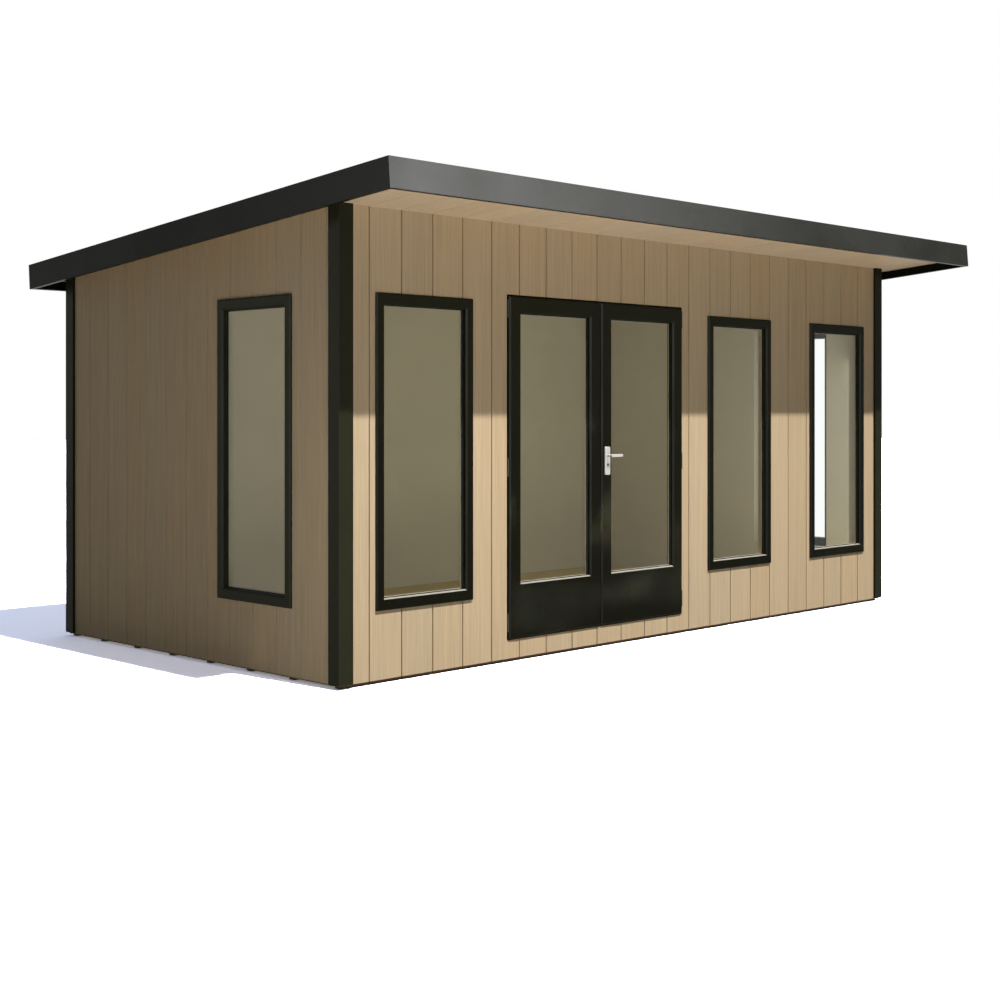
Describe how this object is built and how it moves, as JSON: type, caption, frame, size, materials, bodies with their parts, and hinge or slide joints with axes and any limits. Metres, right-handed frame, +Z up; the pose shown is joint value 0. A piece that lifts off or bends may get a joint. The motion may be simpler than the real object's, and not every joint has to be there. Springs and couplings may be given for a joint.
{
  "type": "garden office pod",
  "caption": "Timber-clad garden office pod with a roof falling to the back, five fixed windows and opening glazed double doors",
  "frame": {"origin": "ground level, under the middle of the roof's plan", "axes": "+X along the front to the right, +Y to the back, +Z up"},
  "size_m": [5.575, 3.6398, 2.696],
  "materials": {
    "cladding": "planed tan boards with a clear satin stain",
    "soffit_boards": "tan boards, matte, laid front to back",
    "dark_trim": "satin near-black olive paint",
    "dark_fascia": "satin anthracite folded metal",
    "glazing": "clear sealed units with a faint green tint",
    "handle_metal": "satin silver",
    "hinge_metal": "dark satin paint, worn at the knuckles",
    "floor_boards": "oiled mustard-brown boards",
    "bearers": "rough sawn treated timber",
    "lining_boards": "pale painted inner lining",
    "roof_membrane": "matte dark sheet"
  },
  "bodies": {
    "root": {"floor_bearers": "bearers", "floor_deck": "floor_boards", "front_wall_left": "cladding", "front_wall_right": "cladding", "front_wall_over_door": "cladding", "front_wall_under_door": "cladding", "left_wall": "cladding", "right_wall": "cladding", "back_wall": "cladding", "front_left_corner_post": "dark_trim", "front_right_corner_post": "dark_trim", "back_left_corner_post": "dark_trim", "back_right_corner_post": "dark_trim", "front_left_window_frame": "dark_trim", "front_middle_window_frame": "dark_trim", "front_right_window_frame": "dark_trim", "left_window_frame": "dark_trim", "right_window_frame": "dark_trim", "front_left_window_glass": "glazing", "front_middle_window_glass": "glazing", "front_right_window_glass": "glazing", "left_window_glass": "glazing", "right_window_glass": "glazing", "door_jambs": "dark_trim", "door_head": "dark_trim", "door_threshold": "dark_trim", "jamb_hinges": "hinge_metal", "roof_core": "lining_boards", "roof_covering": "roof_membrane", "front_soffit": "soffit_boards", "side_soffits": "soffit_boards", "back_soffit": "soffit_boards", "ceiling": "lining_boards", "front_fascia": "dark_fascia", "back_fascia": "dark_fascia", "left_bargeboard": "dark_fascia", "right_bargeboard": "dark_fascia"},
    "left_leaf": {"left_leaf": "dark_trim", "left_leaf_glass": "glazing", "left_leaf_hinges": "hinge_metal"},
    "right_leaf": {"right_leaf": "dark_trim", "right_leaf_glass": "glazing", "right_leaf_hinges": "hinge_metal", "handle_plates": "handle_metal"},
    "lever": {"door_lever": "handle_metal"}
  },
  "joints": [
    {"name": "left_leaf_hinge", "type": "hinge", "parent": "root", "child": "left_leaf", "pos_m": [-1.3735, -1.17308, 0.136], "axis": [0, 0, -1], "range_deg": [0, 105]},
    {"name": "right_leaf_hinge", "type": "hinge", "parent": "root", "child": "right_leaf", "pos_m": [0.2055, -1.17308, 0.136], "axis": [0, 0, 1], "range_deg": [0, 105]},
    {"name": "lever_turn", "type": "hinge", "parent": "right_leaf", "child": "lever", "pos_m": [-0.5355, -1.16808, 1.181], "axis": [0, 1, 0], "range_deg": [0, 40], "stiffness_Nm_per_rad": 3, "springref_deg": -34.38}
  ]
}
